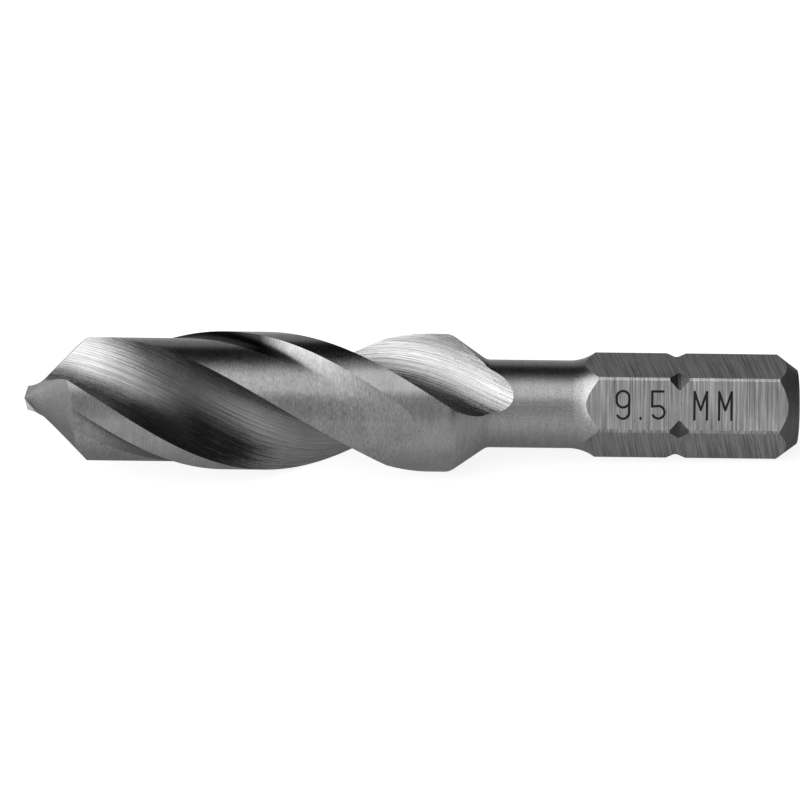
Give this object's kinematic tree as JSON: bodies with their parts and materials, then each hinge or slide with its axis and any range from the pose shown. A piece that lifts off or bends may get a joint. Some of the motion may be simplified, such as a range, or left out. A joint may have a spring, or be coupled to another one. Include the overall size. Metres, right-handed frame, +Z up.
{
  "type": "hex shank twist drill bit",
  "caption": "Short right-hand twist drill with two helical flutes, a turned neck and a hexagonal quick-change shank with a detent groove.",
  "frame": {"origin": "middle of the drill's box, on the surface that the drill lies on", "axes": "+X along the drill from its point to the end of its shank, +Y across it, +Z up; the drill is rolled 57 degrees and its shank hangs 2.8 degrees down, as it comes to rest on two edges of its body and one corner of its shank"},
  "size_m": [0.0534, 0.0094, 0.0097],
  "materials": {
    "ground_steel": "bright ground high speed steel, satin on the lands, neck and shank"
  },
  "bodies": {
    "root": {"drill_bit": "ground_steel"}
  },
  "joints": []
}
